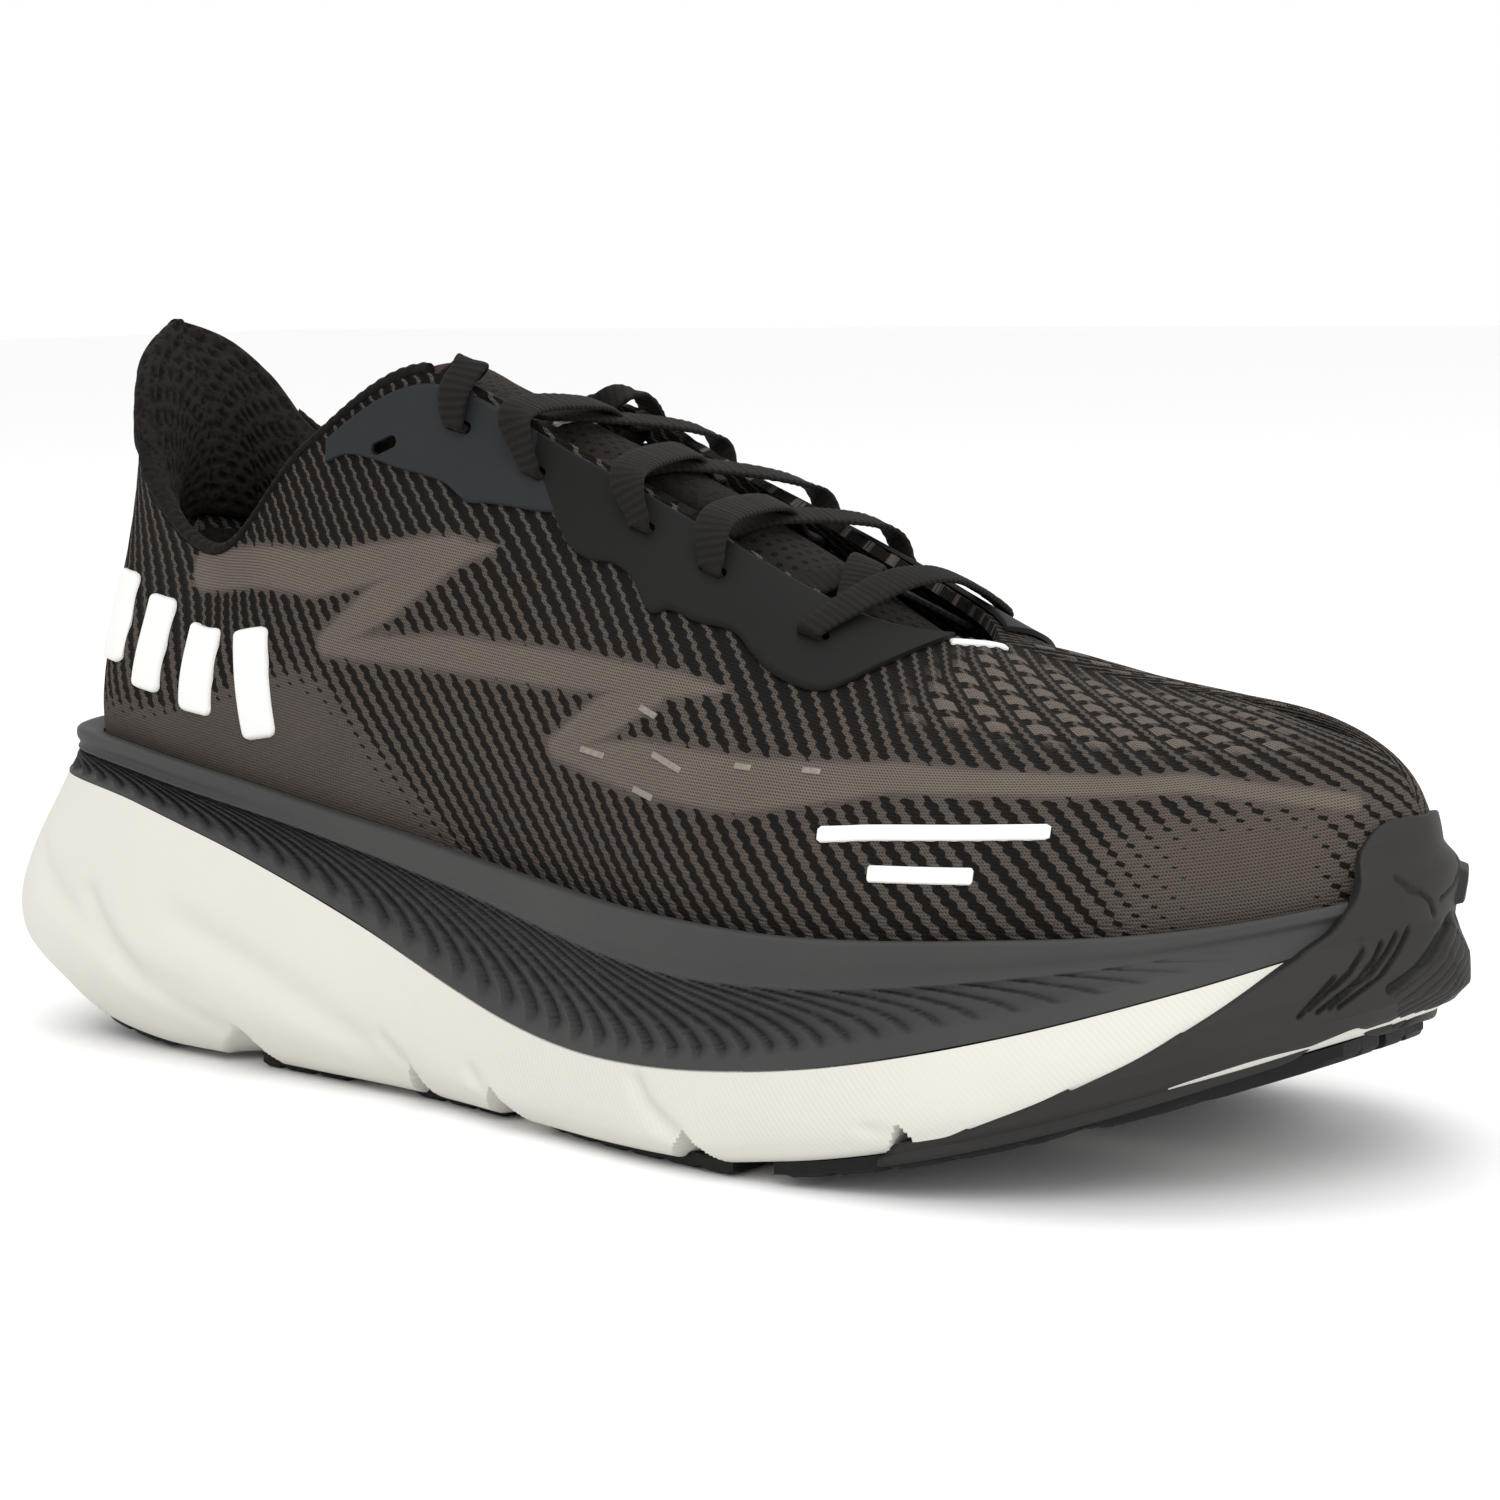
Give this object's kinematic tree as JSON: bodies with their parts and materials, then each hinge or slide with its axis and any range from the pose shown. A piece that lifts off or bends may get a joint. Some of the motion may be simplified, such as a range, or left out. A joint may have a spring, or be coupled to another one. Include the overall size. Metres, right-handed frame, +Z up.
{
  "type": "running shoe",
  "caption": "Right running shoe with a thick rockered foam sole, knitted upper, padded tongue and collar, and one flat lace criss-crossed over the tongue.",
  "frame": {"origin": "middle of the shoe's bounding box, on the ground under the sole", "axes": "+X from heel to toe, -Y to the outer side of this right shoe, +Z up"},
  "size_m": [0.2958, 0.1156, 0.1356],
  "materials": {
    "midsole_foam": "matte foam",
    "carrier_foam": "matte foam",
    "strobel_board": "woven board",
    "sockliner": "brushed knit",
    "outsole_rubber": "matte",
    "toe_bumper": "matte",
    "knit_upper": "jacquard knit",
    "quarter_lining": "mesh",
    "heel_counter": "matte",
    "toe_puff": "matte",
    "collar_pad": "spacer mesh",
    "collar_binding": "woven tape",
    "eyestay_film": "matte film",
    "tab_film": "matte film",
    "tongue": "perforated mesh",
    "tongue_lace_loop": "webbing",
    "lace": "ribbed flat weave",
    "aglet": "satin",
    "mark_film": "matte print",
    "heel_reflector": "reflective tape"
  },
  "bodies": {
    "hindfoot": {"midsole_foam": "midsole_foam", "carrier_foam": "carrier_foam", "strobel_board": "strobel_board", "sockliner": "sockliner", "outsole_heel_outer": "outsole_rubber", "outsole_heel_inner": "outsole_rubber", "outsole_pod_outer_rear": "outsole_rubber", "outsole_pod_outer_front": "outsole_rubber", "outsole_pod_inner": "outsole_rubber", "outsole_ball_outer": "outsole_rubber", "outsole_ball_inner": "outsole_rubber", "knit_upper": "knit_upper", "quarter_lining": "quarter_lining", "heel_counter": "heel_counter", "collar_pad": "collar_pad", "collar_binding": "collar_binding", "eyestay_outer": "eyestay_film", "eyestay_tab_outer": "tab_film", "eyestay_inner": "eyestay_film", "eyestay_tab_inner": "tab_film", "lace": "lace", "aglet_outer": "aglet", "aglet_inner": "aglet", "heel_bar_1": "mark_film", "heel_bar_2": "mark_film", "heel_bar_3": "mark_film", "heel_bar_4": "mark_film", "heel_reflector": "heel_reflector"},
    "forefoot": {"outsole_fore_outer": "outsole_rubber", "outsole_fore_inner": "outsole_rubber", "outsole_toe_outer": "outsole_rubber", "outsole_toe_inner": "outsole_rubber", "toe_bumper": "toe_bumper", "toe_puff": "toe_puff", "forefoot_dash_upper": "mark_film", "forefoot_dash_lower": "mark_film"},
    "tongue": {"tongue": "tongue", "tongue_lace_loop": "tongue_lace_loop", "tongue_label": "mark_film"}
  },
  "joints": [
    {"name": "toe_flex", "type": "hinge", "parent": "hindfoot", "child": "forefoot", "pos_m": [0.0601, 0, 0.022], "axis": [0, -1, 0], "range_deg": [0, 28], "stiffness_Nm_per_rad": 12, "deforming": ["midsole_foam", "carrier_foam", "strobel_board", "sockliner", "knit_upper", "quarter_lining"]},
    {"name": "tongue_press", "type": "hinge", "parent": "hindfoot", "child": "tongue", "pos_m": [0.0631, 0, 0.075], "axis": [0, -1, 0], "range_deg": [0, 4], "stiffness_Nm_per_rad": 0.6}
  ]
}
